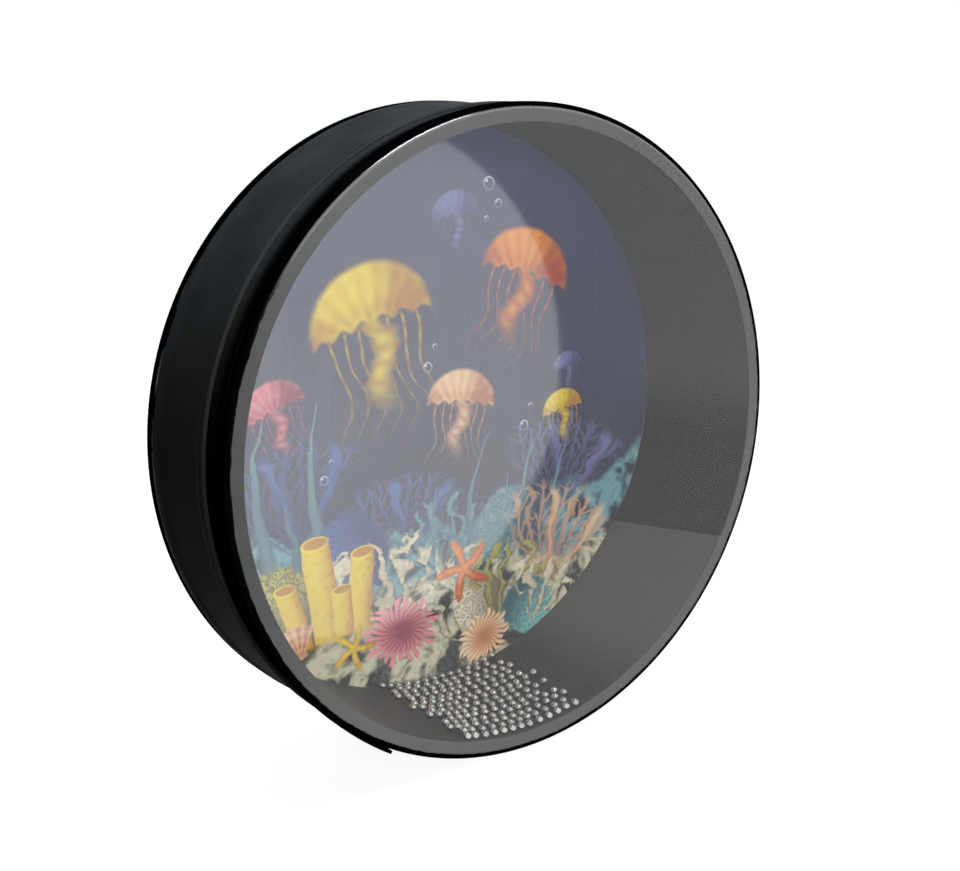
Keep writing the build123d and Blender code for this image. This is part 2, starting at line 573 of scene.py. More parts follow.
# %% [markdown]
# ## Clear film
#
# Clear film is mostly seen by what it mirrors. A Transparent shader lets light and sight
# straight through, and a Glossy shader is laid over it by the angle of view: about a
# fiftieth of the light at each face head-on, and much more at a glancing angle. A film
# this thin bends nothing, so no refraction is needed, and the drum stays bright inside.
# A little dust and a few wiped streaks keep it from looking like empty air.

# %% Clear film
HEAD_ON = 0.022

clear_polyester, tree, surface = new_finish("clear_polyester")
here = place_on_piece(tree)
x, y, z = apart(tree, here)
facing = tree.nodes.new("ShaderNodeLayerWeight")
facing.inputs["Blend"].default_value = 0.5
radius = (x * x + z * z) ** 0.5
shoulder = radius.step(0.1243, 0.1248) * z.step(0.060, 0.095)
mirrored = Amount(tree, facing.outputs["Facing"]) ** 5 * 0.9 + shoulder * 0.055 + HEAD_ON
streaks = noise(tree, together(tree, x * 3.0 + z * 1.2, y, z * 14.0 - x * 3.0), 22, 4)
smudges = noise(tree, here, 26, 3)
clear = coat(tree, "Transparent", Color=(0.985, 0.988, 0.99, 1))
gloss = coat(
    tree,
    "Glossy",
    Color=(1, 1, 1, 1),
    Roughness=smudges.step(0.5, 0.75) * 0.05 + streaks.step(0.55, 0.75) * 0.03 + 0.015,
    Normal=bump(tree, noise(tree, here, 9, 1), 0.0006, 0.3),
)
shining = laid_over(tree, mirrored, clear, gloss)
dust = cells(tree, here, 300).step(0.10, 0.04) * noise(tree, here, 70, 2).step(0.5, 0.7) * 0.25
haze = coat(tree, "Diffuse", Color=(0.8, 0.8, 0.82, 1))
dusty = laid_over(tree, dust + streaks * 0.012 + 0.006, shining, haze)
print("clear film", len(tree.nodes), "nodes")

# %% [markdown]
# ## Lacquer on the skirt
#
# The skirt is brushed over with black lacquer, which shows between tape and wrap and
# leaves a ragged line along the shoulder. It mirrors nothing, because even a faint gloss
# turns black to grey in a white room. Beside the wrap, on the upper side, painted light
# from above makes it paler, up to the vinyl's own colour.

# %% Lacquer finish
brushed = noise(tree, together(tree, x, y * 6.0, z), 70, 3)
black = mix(tree, brushed, grey(0.0012), grey(0.0040))
# Painted light: the lacquer pales beside the wrap, on the upper side only.
painted_top_light_beside_wrap = y.step(-0.0235, -0.0160) * z.step(0.0, 0.11)
lacquer = coat(
    tree,
    "Principled",
    Base_Color=mix(tree, painted_top_light_beside_wrap, black, (0.042, 0.047, 0.053, 1)),
    Roughness=brushed * 0.2 + 0.42,
    Specular_IOR_Level=0.0,
)
on_skirt = y.size().step(0.0296, 0.0292)
ragged = radius.plus(noise(tree, here, 260, 3), 0.0016).step(0.1257, 0.1259) * z.step(0.080, 0.045)
tree.links.new(laid_over(tree, on_skirt.most(ragged), dusty, lacquer), surface)
dress(front_film, clear_polyester, "clear_film", "drum", "front_head")

# %% [markdown]
# ## Sea life for the print
#
# The rear head carries a printed underwater scene. Each kind of sea life is drawn once,
# as a node group that gives a colour and a cover (where it hides what is behind). The
# group works in its own small coordinates, about 1 across, and each use of it gets its
# own place, turn and size. Groups take plain numbers, not vectors: a shader can hold only
# so many values at once, and plain numbers are worked through one motif at a time.

# %% A drawing as a node group
NUMBERS = ("Across", "Up", "Rough", "Spots", "Folds")


def drawing(name, draw):
    """A node group of one motif.

    draw(tree, x, y, rough, spots, folds, light, dark) adds the nodes and gives colour and cover.
    """
    group = bpy.data.node_groups.new(name, "ShaderNodeTree")
    for number in NUMBERS:
        group.interface.new_socket(number, in_out="INPUT", socket_type="NodeSocketFloat")
    for colour in ("Light", "Dark"):
        group.interface.new_socket(colour, in_out="INPUT", socket_type="NodeSocketColor")
    group.interface.new_socket("Colour", in_out="OUTPUT", socket_type="NodeSocketColor")
    group.interface.new_socket("Cover", in_out="OUTPUT", socket_type="NodeSocketFloat")
    start = group.nodes.new("NodeGroupInput")
    end = group.nodes.new("NodeGroupOutput")
    numbers = [Amount(group, start.outputs[number]) for number in NUMBERS]
    colour, cover = draw(group, *numbers, start.outputs["Light"], start.outputs["Dark"])
    connect(group, colour, end.inputs["Colour"])
    connect(group, cover, end.inputs["Cover"])
    print(name, len(group.nodes), "nodes")
    return group


def polar(x, y):
    """Distance from the middle, and angle from straight up."""
    return (x * x + y * y) ** 0.5, x.by("ARCTAN2", y)


def wave(amount):
    """A sine between 0 and 1."""
    return amount.sin() * 0.5 + 0.5


print("each motif takes", NUMBERS)

# %% [markdown]
# ## Jelly
#
# A jelly is a lit dome with a scalloped margin, a frilled bundle of arms and long threads
# that sway more the lower they hang. Each part is a soft step on a distance.


# %% Jelly
def draw_jelly(tree, x, y, rough, spots, folds, light, dark):
    x = x.plus(rough, 0.12)
    dome = (x * x + (y * 1.2) * (y * 1.2)) ** 0.5
    margin = y + (x * 19).cos() * 0.04 + x * x * 0.10
    bell = dome.step(1.02, 0.88) * margin.step(-0.04, 0.06)
    _, fan = polar(x, y + 0.45)
    glow = ((x + 0.28) * (x + 0.28) + (y - 0.48) * (y - 0.48)).step(0.75, 0.0)
    shade = (glow * 0.62 + dome.step(0.78, 1.0) * 0.22 + wave(fan * 24) * 0.20).plus(spots, 0.10)
    shade = shade - margin.step(0.0, 0.16) * margin.step(0.40, 0.16) * 0.22
    swayed = x + (y * 4.2 + x * 2).plus(rough, 2).sin() * 0.12 * y
    threads = (swayed * 27).cos().step(0.60, 0.98) * swayed.size().step(0.84, 0.70)
    threads = threads * y.step(0.04, -0.06) * y.step(-1.9, -0.2)
    frill = wave((y * 23 + x * 8).plus(rough, 9))
    arm = (x + (y * 5).plus(rough, 4).sin() * 0.13).size() + frill * 0.07
    arms = arm.step(0.34, 0.10) * y.step(0.05, -0.02) * y.step(-1.4, -0.7)
    hanging = mix(tree, frill * 0.55 + arm.step(0.3, 0.0) * 0.35, dark, light)
    colour = mix(tree, bell, hanging, mix(tree, shade, dark, light))
    return colour, (bell * (glow * 0.12 + 0.86)).most(arms * 0.80).most(threads * 0.50)


jelly = drawing("jelly", draw_jelly)

# %% [markdown]
# ## Star and scallop
#
# Both are drawn round a middle by angle and distance: five arms that turn a little as
# they reach out, and a fan of ribs from a hinge with two small ears.


# %% Star and scallop
def draw_star(tree, x, y, rough, spots, folds, light, dark):
    reach, angle = polar(x, y)
    arm = ((angle + reach * 0.28) * 5).cos() * 0.5 + 0.5
    inside = reach / (arm ** 2.0 * 0.74 + 0.26)
    ridge = arm ** 12 * reach.step(0.0, 0.25)
    shade = (inside.step(1.0, 0.15) * 0.45 + ridge * 0.25 + (y - x) * 0.18).plus(spots, 0.30)
    return mix(tree, shade, dark, light), inside.step(1.04, 0.90)


def draw_scallop(tree, x, y, rough, spots, folds, light, dark):
    foot = y + 0.8
    reach, angle = polar(x, foot)
    ribs = (angle * 21).cos()
    fan = angle.size().step(0.98, 0.92) * (reach - ribs * 0.04).step(1.56, 1.46)
    ears = x.size().step(0.42, 0.36) * foot.step(0.0, 0.05) * foot.step(0.28, 0.22)
    rings = wave((reach * 17).plus(rough, 4))
    shade = ribs * 0.24 + rings * 0.22 + (y - x).step(-1.0, 1.0) * 0.45 + 0.10
    return mix(tree, shade, dark, light), fan.most(ears)


star = drawing("star", draw_star)
scallop = drawing("scallop", draw_scallop)

# %% [markdown]
# ## Sea fan and branching coral
#
# Both grow from a foot. The fan is a net of ribs and cross links. The branches fork: in
# stages, there are more tines the higher up. Noise bends the angles, so that no line is
# straight.


# %% Sea fan and branching coral
def draw_sea_fan(tree, x, y, rough, spots, folds, light, dark):
    reach, angle = polar(x, y + 1.0)
    bent = angle.plus(rough, 0.5)
    fan = reach.plus(rough, 0.7).step(1.80, 1.50) * bent.size().step(0.86, 0.66)
    ribs = (bent * 38).cos().step(0.1, 0.9) * 0.75
    links = (reach * 27 + (bent * 19).cos() * 2.4).plus(rough, 16).sin().step(0.40, 0.95) * 0.65
    boughs = (bent * 9 + reach * 0.8).cos().step(0.84, 0.98)
    stem = x.plus(rough, 0.2).size().step(0.10, 0.04) * y.step(-0.3, -0.6) * y.step(-1.1, -1.0)
    shade = (reach.step(0.2, 1.9) * 0.60 + boughs * 0.25).plus(rough, 0.5)
    return mix(tree, shade, dark, light), (ribs.most(links).most(boughs) * fan).most(stem) * 0.92


def draw_branches(tree, x, y, rough, spots, folds, light, dark):
    reach, angle = polar(x, y + 1.0)
    bent = angle.plus(rough, 1.3)
    tines = (bent * ((reach * 2.2).by("FLOOR") * 4 + 7)).cos()
    tips = (reach + (bent * 13).sin() * 0.12).plus(rough, 0.5)
    bush = tips.step(1.80, 1.70) * angle.size().step(0.95, 0.80)
    shade = (tines.step(0.0, 1.0) * 0.55 + reach.step(0.6, 2.0) * 0.35 - 0.1).plus(spots, 0.2)
    return mix(tree, shade, dark, light), bush * tines.step(-0.15, 0.35)


sea_fan = drawing("sea_fan", draw_sea_fan)
branches = drawing("branches", draw_branches)

# %% [markdown]
# ## Coral head, sponge and anemone
#
# The coral head is a lump whose shading follows folds, as on brain coral. The sponge is
# four tubes, each with a dark mouth and a bright lip. The anemone is a wreath of strands
# of uneven length.

# %% Coral head, sponge and anemone
TUBES = ((-0.58, 0.20, 0.22), (0.52, 0.45, 0.25), (-0.08, 0.85, 0.28), (0.22, -0.10, 0.20))


def draw_coral_head(tree, x, y, rough, spots, folds, light, dark):
    reach = ((x * x + y * y) ** 0.5).plus(rough, 0.6)
    lit = (y - x * 0.5).step(-0.9, 0.9)
    shade = lit * 0.35 + lit * folds * 0.65 + reach.step(1.0, 0.3) * 0.10 - 0.08
    return mix(tree, shade, dark, light), reach.step(1.04, 0.90)


def draw_sponge(tree, x, y, rough, spots, folds, light, dark):
    colour = dark
    cover = y.step(-9, -10)
    lift = y + 1
    lit = y * 0.16 + 0.74
    standing = lift.step(-0.05, 0.1)
    for middle, top, half in TUBES:
        across = (x - lift * (middle * 0.30) - middle).plus(rough, 0.16) / half
        below = (y - top) / (half * 0.42)
        lip = across * across + below * below
        tube = across.size().step(1.04, 0.92) * below.step(0.3, -0.3) * standing
        tube = tube.most(lip.step(1.1, 0.95))
        turned = across + 0.35
        side = (lit - turned * turned * 0.42).plus(spots, -0.22)
        shade = side + lip.step(1.5, 0.95) * 0.2 - lip.step(0.85, 0.45) * 0.95
        colour = mix(tree, tube, colour, mix(tree, shade, dark, light))
        cover = cover.most(tube)
    return colour, cover


def draw_anemone(tree, x, y, rough, spots, folds, light, dark):
    reach, angle = polar(x, y * 1.25)
    bent = angle + (reach * 6).plus(rough, 7).sin() * 0.11
    strands = wave(bent * 25)
    length = (bent * 9 + 1).cos() * 0.10 + 0.90
    full = reach.step(0.72, 0.52).most(strands.step(0.10, 0.45))
    shade = strands * 0.45 * reach.step(0.05, 0.5) + reach.step(0.15, 1.0) * 0.5 + (y - x) * 0.12
    return mix(tree, shade, dark, light), (reach / length).step(1.0, 0.92) * full


coral_head = drawing("coral_head", draw_coral_head)
sponge = drawing("sponge", draw_sponge)
anemone = drawing("anemone", draw_anemone)

# %% [markdown]
# ## Grass and bubble
#
# Grass is a row of blades: the whole number of a coordinate tells one blade from the
# next, and gives each its own height and shade. A bubble is a thin ring with a glint.


# %% Grass and bubble
def draw_grass(tree, x, y, rough, spots, folds, light, dark):
    swung = (x + (y * 3.0 + 0.6).sin() * 0.16 * y).plus(rough, 0.08)
    blade = swung * 8
    number = blade.by("FLOOR")
    across = (blade.by("FRACT") - 0.5).size()
    along = y / ((number * 2.3).sin() * 0.26 + 0.72)
    width = along.step(1.05, 0.1) * 0.34 + 0.02
    blades = (across / width).step(1.0, 0.6) * along.step(1.0, 0.96)
    cover = blades * y.step(-0.02, 0.04) * swung.size().step(0.51, 0.49)
    shade = (across.step(0.3, 0.0) * 0.25 + y * 0.5 + (number * 1.7).cos() * 0.18 + 0.10).plus(rough, 0.3)
    return mix(tree, shade, dark, light), cover * 0.9


def draw_bubble(tree, x, y, rough, spots, folds, light, dark):
    reach = (x * x + y * y) ** 0.5
    wall = (reach - 0.84).size().step(0.18, 0.03)
    glint = ((x + 0.35) * (x + 0.35) + (y - 0.35) * (y - 0.35)).step(0.08, 0.02)
    return mix(tree, glint.most(wall * y.step(-0.6, 0.9)), dark, light), wall.most(glint) * 0.7


grass = drawing("grass", draw_grass)
bubble = drawing("bubble", draw_bubble)

# %% [markdown]
# ## The printed scene
#
# The print is deep violet-blue water, a reef along the bottom and warm, bright sea life
# in front of it. It is laid up from back to front, as a collage is: each motif's cover
# says how much of it lies over what is there already. A motif's row gives its place in
# radii of the head, right and up from the middle, then its size, turn and colours.

# %% Colours and places of the sea life
GOLD = ((0.92, 0.74, 0.05, 1), (0.50, 0.22, 0.008, 1))
ORANGE = ((0.95, 0.36, 0.04, 1), (0.45, 0.05, 0.010, 1))
PEACH = ((0.95, 0.66, 0.38, 1), (0.50, 0.17, 0.07, 1))
VIOLET = ((0.30, 0.32, 0.66, 1), (0.05, 0.05, 0.20, 1))
BLUE = ((0.12, 0.26, 0.70, 1), (0.015, 0.03, 0.16, 1))
TEAL = ((0.24, 0.58, 0.52, 1), (0.015, 0.09, 0.11, 1))
CREAM = ((0.88, 0.82, 0.60, 1), (0.16, 0.13, 0.07, 1))
OLIVE = ((0.55, 0.50, 0.12, 1), (0.05, 0.05, 0.015, 1))
ROSE = ((0.88, 0.30, 0.34, 1), (0.28, 0.03, 0.06, 1))
WHITE = ((0.90, 0.93, 1.00, 1), (0.22, 0.26, 0.50, 1))
HAZE = (0.06, 0.075, 0.17, 1)

FAR_OFF = [
    (jelly, 0.10, 0.68, 0.105, 8, VIOLET),
    (jelly, -0.60, 0.50, 0.09, -14, BLUE),
    (jelly, 0.60, 0.10, 0.07, 12, VIOLET),
    (sea_fan, -0.58, -0.20, 0.25, 10, BLUE),
    (sea_fan, 0.58, -0.24, 0.24, -12, VIOLET),
    (sea_fan, -0.12, -0.34, 0.20, -4, BLUE),
    (grass, -0.76, -0.62, 0.80, 4, TEAL),
    (grass, 0.30, -0.70, 0.62, -3, TEAL),
    (branches, 0.02, -0.46, 0.19, 10, TEAL),
    (coral_head, 0.34, -0.48, 0.16, 40, TEAL),
    (coral_head, -0.34, -0.46, 0.16, 90, BLUE),
]
ON_REEF = [
    (coral_head, -0.64, -0.64, 0.21, 0, OLIVE),
    (sea_fan, 0.56, -0.52, 0.24, -16, PEACH),
    (branches, -0.22, -0.58, 0.20, 8, CREAM),
    (sponge, -0.44, -0.56, 0.20, 6, GOLD),
    (branches, 0.08, -0.70, 0.20, 20, CREAM),
    (coral_head, 0.20, -0.74, 0.12, 60, CREAM),
    (branches, 0.32, -0.66, 0.18, -14, OLIVE),
    (anemone, -0.14, -0.78, 0.17, 0, ROSE),
    (coral_head, 0.42, -0.80, 0.12, 200, TEAL),
    (branches, 0.50, -0.74, 0.14, -24, CREAM),
    (anemone, 0.22, -0.88, 0.13, 30, PEACH),
    (scallop, -0.58, -0.74, 0.085, 30, PEACH),
    (star, 0.13, -0.60, 0.13, 10, ORANGE),
    (star, -0.34, -0.80, 0.095, 40, GOLD),
]
IN_WATER = [
    (jelly, -0.24, 0.34, 0.25, 14, GOLD),
    (jelly, 0.40, 0.46, 0.20, -18, ORANGE),
    (jelly, 0.12, 0.02, 0.15, -8, PEACH),
    (jelly, 0.58, -0.06, 0.095, 10, GOLD),
    (jelly, -0.62, 0.08, 0.125, 20, ROSE),
]
BUBBLES = (
    ((0.24, 0.78, 0.026), (0.28, 0.71, 0.017), (0.23, 0.66, 0.011))
    + ((-0.02, 0.16, 0.020), (0.01, 0.23, 0.012))
    + ((0.40, -0.10, 0.021), (0.43, -0.03, 0.013))
    + ((-0.44, -0.18, 0.018), (-0.41, -0.12, 0.010))
)
IN_WATER += [(bubble, u, v, size, 0, WHITE) for u, v, size in BUBBLES]
print("motifs", len(FAR_OFF) + len(ON_REEF) + len(IN_WATER))

# %% [markdown]
# ## Water and reef
#
# The water pales upwards, with soft clouds in it and slanting rays from the surface. The
# reef is ridged noise, which gives crags with sharp crests. Noise, spots and folds that
# many motifs share are worked out once here and handed to each of them.

# %% Water
PRINT_RADIUS = HOOP_INNER
RAY_SLANT = 16

ink_on_film, tree, surface = new_finish("ink_on_film")
here = place_on_piece(tree)
x, y, z = apart(tree, here)
across, up = x / PRINT_RADIUS, z / PRINT_RADIUS
cloud = noise(tree, here, 13, 4)
slant = tree.nodes.new("ShaderNodeMapping")
connect(tree, here, slant.inputs["Vector"])
slant.inputs["Rotation"].default_value = (0, radians(RAY_SLANT), 0)
slant.inputs["Scale"].default_value = (5.0, 1.0, 0.35)
ray = noise(tree, slant.outputs["Vector"], 15, 3)
scene = mix(tree, up.step(-0.8, 0.9), (0.008, 0.012, 0.024, 1), (0.042, 0.047, 0.112, 1))
scene = mix(tree, cloud.step(0.35, 0.75) * 0.6, scene, (0.062, 0.064, 0.120, 1))
scene = mix(tree, ray.step(0.50, 0.80) * up.step(-0.5, 0.8) * 0.45, scene, (0.18, 0.19, 0.29, 1))
print("water", len(tree.nodes), "nodes")

# %% Rough edges, spots, folds and crags
CRAG_VALUES = {"Scale": 58, "Detail": 8, "Roughness": 0.64, "Offset": 0.9, "Gain": 2.2, "Distortion": 0.35}

rough = noise(tree, here, 58, 5) - 0.5
knobs = cells(tree, here, 330)
spots = knobs.step(0.5, 0.15)
folds = wave((knobs * 15).plus(rough, 14))
crag = tree.nodes.new("ShaderNodeTexNoise")
crag.noise_type = "RIDGED_MULTIFRACTAL"
crag.normalize = False
connect(tree, here, crag.inputs["Vector"])
for name, value in CRAG_VALUES.items():
    crag.inputs[name].default_value = value
crags = Amount(tree, crag.outputs["Fac"]).step(0.5, 1.7)
print("reef", len(tree.nodes), "nodes")

# %% [markdown]
# ## Laying up the picture
#
# Each motif's own coordinates are the head's, moved, turned and divided by its size, in
# four nodes. What is far off is mixed towards the water's haze, as things under water
# are. The far bank of reef lies behind the first row of motifs, the near bank behind the
# rest.


# %% Laying up the picture
def lay(scene, motifs, haze=0.0):
    """Lays motifs over the scene, each at its place, size and turn, hazed if it is far off."""
    for group, u, v, size, turn, colours in motifs:
        light, dark = [[c + (w - c) * haze for c, w in zip(colour, HAZE)] for colour in colours]
        along, over = cos(radians(turn)) / size, sin(radians(turn)) / size
        local_x = across.by("MULTIPLY_ADD", along, up.by("MULTIPLY_ADD", over, -u * along - v * over))
        local_y = up.by("MULTIPLY_ADD", along, across.by("MULTIPLY_ADD", -over, u * over - v * along))
        motif = tree.nodes.new("ShaderNodeGroup")
        motif.node_tree = group
        for name, value in zip(NUMBERS, (local_x, local_y, rough, spots, folds)):
            connect(tree, value, motif.inputs[name])
        motif.inputs["Light"].default_value = light
        motif.inputs["Dark"].default_value = dark
        scene = mix(tree, motif.outputs["Cover"], scene, motif.outputs["Colour"])
    return scene


def bank(scene, skyline, soft, pale, dark):
    """Lays a bank of craggy reef below a skyline."""
    below = (up - skyline).plus(rough, -0.36).step(soft, -soft)
    return mix(tree, below, scene, mix(tree, crags, dark, pale))


far_skyline = across.size() ** 2 * 0.20 - 0.44
scene = bank(scene, far_skyline, 0.05, (0.16, 0.36, 0.42, 1), (0.012, 0.020, 0.042, 1))
scene = lay(scene, FAR_OFF, haze=0.45)
near_skyline = (across * 4 + 1).sin() * 0.05 + across.size() ** 3 * 0.2 - 0.64
scene = bank(scene, near_skyline, 0.03, (0.62, 0.58, 0.40, 1), (0.014, 0.016, 0.018, 1))
scene = lay(scene, ON_REEF)
scene = lay(scene, IN_WATER)
print("print nodes", len(tree.nodes))

# %% [markdown]
# ## Ink on film
#
# Ink on the inside of the film lies under a smooth coat. It mirrors the bright opening
# of the drum in front of it, which shows as a lighter oval over the picture, so its gloss
# is strong and only a little blurred. A very fine screen and slow changes in gloss keep
# it from looking like a picture on a monitor. Outside the picture, on the shoulder and
# skirt, the film is black.

# %% Printed film finish
grain = noise(tree, here, 900, 2)
inked = mix(tree, 0.02, scene, mix(tree, grain, grey(0), grey(1)), "OVERLAY")
rim = ((x * x + z * z) ** 0.5).step(0.1242, 0.1245)
principled(
    tree,
    surface,
    Base_Color=mix(tree, rim, inked, (0.006, 0.006, 0.007, 1)),
    Roughness=noise(tree, here, 30, 3) * 0.06 + 0.06,
    IOR=1.75,
    Specular_IOR_Level=1.0,
)
dress(rear_film, ink_on_film, "printed_film", "drum", "rear_head")

# %% [markdown]
# ## Edging tape
#
# A narrow black tape covers the film's edge round each rim. The rear one butts on itself.
# The front one's end has come unstuck: the tape goes almost round, then straightens and
# stands off, over its own beginning. The beginning is thin there, so that no light shows
# between the two, and grows thicker degree by degree. The rest is two spins, the second
# about a point that is further away, because a straighter bend has a longer radius.
# Three short extrusions, each smaller than the last, round off the end.

# %% Tape sections
TAPE_INNER, TAPE_OUTER = 0.12575, 0.12715
TAPE_NEAR, TAPE_FAR = 0.0321, 0.0271
TAPE_ROUNDING = 0.0005


def tape_section(name, side):
    low, high = sorted((side * TAPE_NEAR, side * TAPE_FAR))
    tape = section(name, TAPE_INNER, TAPE_OUTER, low, high)
    round_outer_corners(tape, TAPE_INNER, TAPE_OUTER, TAPE_ROUNDING)
    return tape


rear_tape = tape_section("rear_edging_tape", 1)
bend_round(rear_tape, 20, 359.9, 300)
face_outwards()
print("rear tape", len(rear_tape.data.polygons), "faces")

# %% Front tape's thin beginning
TAIL_AT = -149.0
THIN_AT, FULL_AT, EVEN_AT = 7, 26.2, 27
FIRST_TURN = 0.2

front_tape = tape_section("front_edging_tape", -1)
bpy.ops.mesh.select_all(action="SELECT")
thinnest = (THIN_AT / FULL_AT) ** 2
bpy.ops.transform.resize(value=(thinnest, 1, 1), center_override=(TAPE_INNER, 0, 0))
bend_round(front_tape, TAIL_AT + THIN_AT, FIRST_TURN, 1)
for turn in range(THIN_AT + 1, EVEN_AT + 1):
    spin_selected(1 if turn > THIN_AT + 1 else 1 - FIRST_TURN, 1)
    grow = (min(FULL_AT, turn) / (turn - 1)) ** 2
    at = radians(TAIL_AT + turn)
    stuck_side = (TAPE_INNER * cos(at), 0, TAPE_INNER * sin(at))
    bpy.ops.transform.resize(value=(grow, 1, grow), center_override=stuck_side)
spin_selected(360 - EVEN_AT, 290)
print("front tape begins at", round(thinnest, 3), "of its thickness")

# %% Front tape's lifted end
TAIL_RADIUS, TAIL_LENGTH = 0.142, 0.0655
ROUNDED_END = ((0.0003, 0.92), (0.0002, 0.80), (0.0001, 0.60))

offset = (TAPE_INNER + TAPE_OUTER) / 2 - TAIL_RADIUS
tail_centre = (offset * cos(radians(TAIL_AT)), 0, offset * sin(radians(TAIL_AT)))
spin_selected(degrees(TAIL_LENGTH / TAIL_RADIUS), 24, tail_centre)
end_at = radians(TAIL_AT) + TAIL_LENGTH / TAIL_RADIUS
end_middle = (
    tail_centre[0] + TAIL_RADIUS * cos(end_at),
    -(TAPE_NEAR + TAPE_FAR) / 2,
    tail_centre[2] + TAIL_RADIUS * sin(end_at),
)
for forward, shrink in ROUNDED_END:
    step = (-forward * sin(end_at), 0, forward * cos(end_at))
    bpy.ops.mesh.extrude_region_move(TRANSFORM_OT_translate={"value": step})
    bpy.ops.transform.resize(value=(shrink, shrink, shrink), center_override=end_middle)
face_outwards()
tip = max((v.co for v in front_tape.data.vertices), key=lambda co: hypot(co.x, co.z))
print("tape end at", [round(c, 4) for c in tip])

# %% [markdown]
# ## Tape finish
#
# The tape is deep black and matt, with fine lines along it, which come from noise that
# is stretched round the drum. It mirrors nothing, as the lacquer does. Its edge towards
# the wrap is paler in broken places below the top of the rim: wear, and a painted highlight along the
# edge.

# %% Tape finish
black_tape, tree, surface = new_finish("black_tape")
here = place_on_piece(tree)
x, y, z = apart(tree, here)
lines = noise(tree, together(tree, x * 0.12, y, z * 0.12), 2600, 2)
wear = noise(tree, here, 60, 4)
# Painted highlight: a pale line along the tape's edge towards the wrap, broken up by wear noise.
rubbed_and_lit_edge = y.size().step(TAPE_FAR + 0.0007, TAPE_FAR + 0.0002) * wear.step(0.40, 0.60) * z.step(0.09, 0.03)
colour = mix(tree, wear.step(0.4, 0.8), grey(0.0008), grey(0.0024))
principled(
    tree,
    surface,
    Base_Color=mix(tree, rubbed_and_lit_edge, colour, grey(0.10)),
    Roughness=wear * 0.25 + 0.45,
    Specular_IOR_Level=0.0,
    Normal=bump(tree, lines + wear * 0.8, 0.00006),
)
dress(rear_tape, black_tape, "edging_tape", "drum", "rear_edging")
dress(front_tape, black_tape, "edging_tape", "drum", "front_edging")

# %% [markdown]
# ## Vinyl wrap
#
# A strip of matt vinyl is stuck round the side, folded over once along both edges, so it
# is thicker there and sinks a little between. Its ends lap at the right. The section is
# cut into many short lengths first, so that its outline can be bent into hems and a
# waist, and it is then spun a little more than once round. Over the last part of the
# turn it climbs by its own thickness, and so lies on its own beginning.

# %% Wrap section
WRAP_INNER, WRAP_SKIN = 0.12577, 0.00062
WRAP_FRONT, WRAP_REAR, WRAP_HEM = -0.0150, 0.0269, 0.0050
HEM_FALL, WAIST_DEPTH = 0.0024, 0.00028
WRAP_CUTS = 41
WRAP_ROUNDING = 0.0009


def hem(depth):
    """1 on the folded edges and 0 between them, with a soft fall."""
    inwards = min(depth - WRAP_FRONT, WRAP_REAR - depth)
    return min(1, max(0, (WRAP_HEM + HEM_FALL / 2 - inwards) / HEM_FALL))


def waist(depth):
    """How far the strip sinks at that depth."""
    middle, half = (WRAP_FRONT + WRAP_REAR) / 2, (WRAP_REAR - WRAP_FRONT) / 2 - WRAP_HEM
    return WAIST_DEPTH * max(0, 1 - ((depth - middle) / half) ** 2)


def at_depth(vertex, depth):
    return abs(vertex.co.y - depth) < TOUCHING


def on_outer_corner(vertex):
    on_hem = vertex.co.x > WRAP_INNER + 1.5 * WRAP_SKIN
    return on_hem and not WRAP_FRONT + TOUCHING < vertex.co.y < WRAP_REAR - TOUCHING


wrap = section("vinyl_wrap", WRAP_INNER, WRAP_INNER + WRAP_SKIN, WRAP_FRONT, WRAP_REAR)
select_only(wrap, "EDGE", lambda e: abs(ends(wrap, e)[0].y - ends(wrap, e)[1].y) > WRAP_HEM)
bpy.ops.mesh.subdivide(number_cuts=WRAP_CUTS)
bpy.ops.object.mode_set(mode="OBJECT")
for depth in sorted({round(v.co.y, 6) for v in wrap.data.vertices}):
    select_only(wrap, "VERT", lambda v: at_depth(v, depth))
    bpy.ops.transform.translate(value=(-waist(depth), 0, 0))
    half_way = WRAP_INNER + WRAP_SKIN / 2 - waist(depth)
    select_only(wrap, "VERT", lambda v: at_depth(v, depth) and v.co.x > half_way)
    bpy.ops.transform.translate(value=(WRAP_SKIN * hem(depth), 0, 0))
select_only(wrap, "VERT", on_outer_corner)
bpy.ops.mesh.bevel(offset=WRAP_ROUNDING, segments=6, affect="VERTICES")
bpy.ops.object.mode_set(mode="OBJECT")
print("wrap section", len(wrap.data.vertices), "vertices")

# %% Wrap round the side
WRAP_LAP_AT, WRAP_LAP = 38.0, 6
CLIMB, LAP_CLEARANCE = 17, 0.00006

bend_round(wrap, WRAP_LAP_AT, 360 - CLIMB, 400)
for turn in range(CLIMB + WRAP_LAP):
    spin_selected(1, 1)
    if turn < CLIMB:
        widen(1 + (2 * WRAP_SKIN + LAP_CLEARANCE) / CLIMB / WRAP_INNER)
face_outwards()
print("wrap", len(wrap.data.polygons), "faces")

# %% [markdown]
# ## A hand-laid look
#
# Vinyl laid by hand is never quite even: it follows small lumps of glue underneath. A
# Displace modifier moves only the outer skin, by less than a quarter of a millimetre,
# with a soft cloud texture.

# %% Wrap unevenness
select_only(wrap, "VERT", lambda v: v.normal.dot(Vector((v.co.x, 0, v.co.z)).normalized()) > 0.3)
bpy.ops.object.vertex_group_add()
bpy.ops.object.vertex_group_assign()
bpy.ops.object.mode_set(mode="OBJECT")
lumps = bpy.data.textures.new("glue_lumps", "CLOUDS")
lumps.noise_scale = 0.009
lumps.noise_depth = 2
add_modifier(
    wrap,
    "DISPLACE",
    texture=lumps,
    texture_coords="LOCAL",
    strength=0.00030,
    mid_level=0.35,
    vertex_group=wrap.vertex_groups[0].name,
)
print("wrap reach", round(max(hypot(v.co.x, v.co.z) for v in wrap.data.vertices), 5))

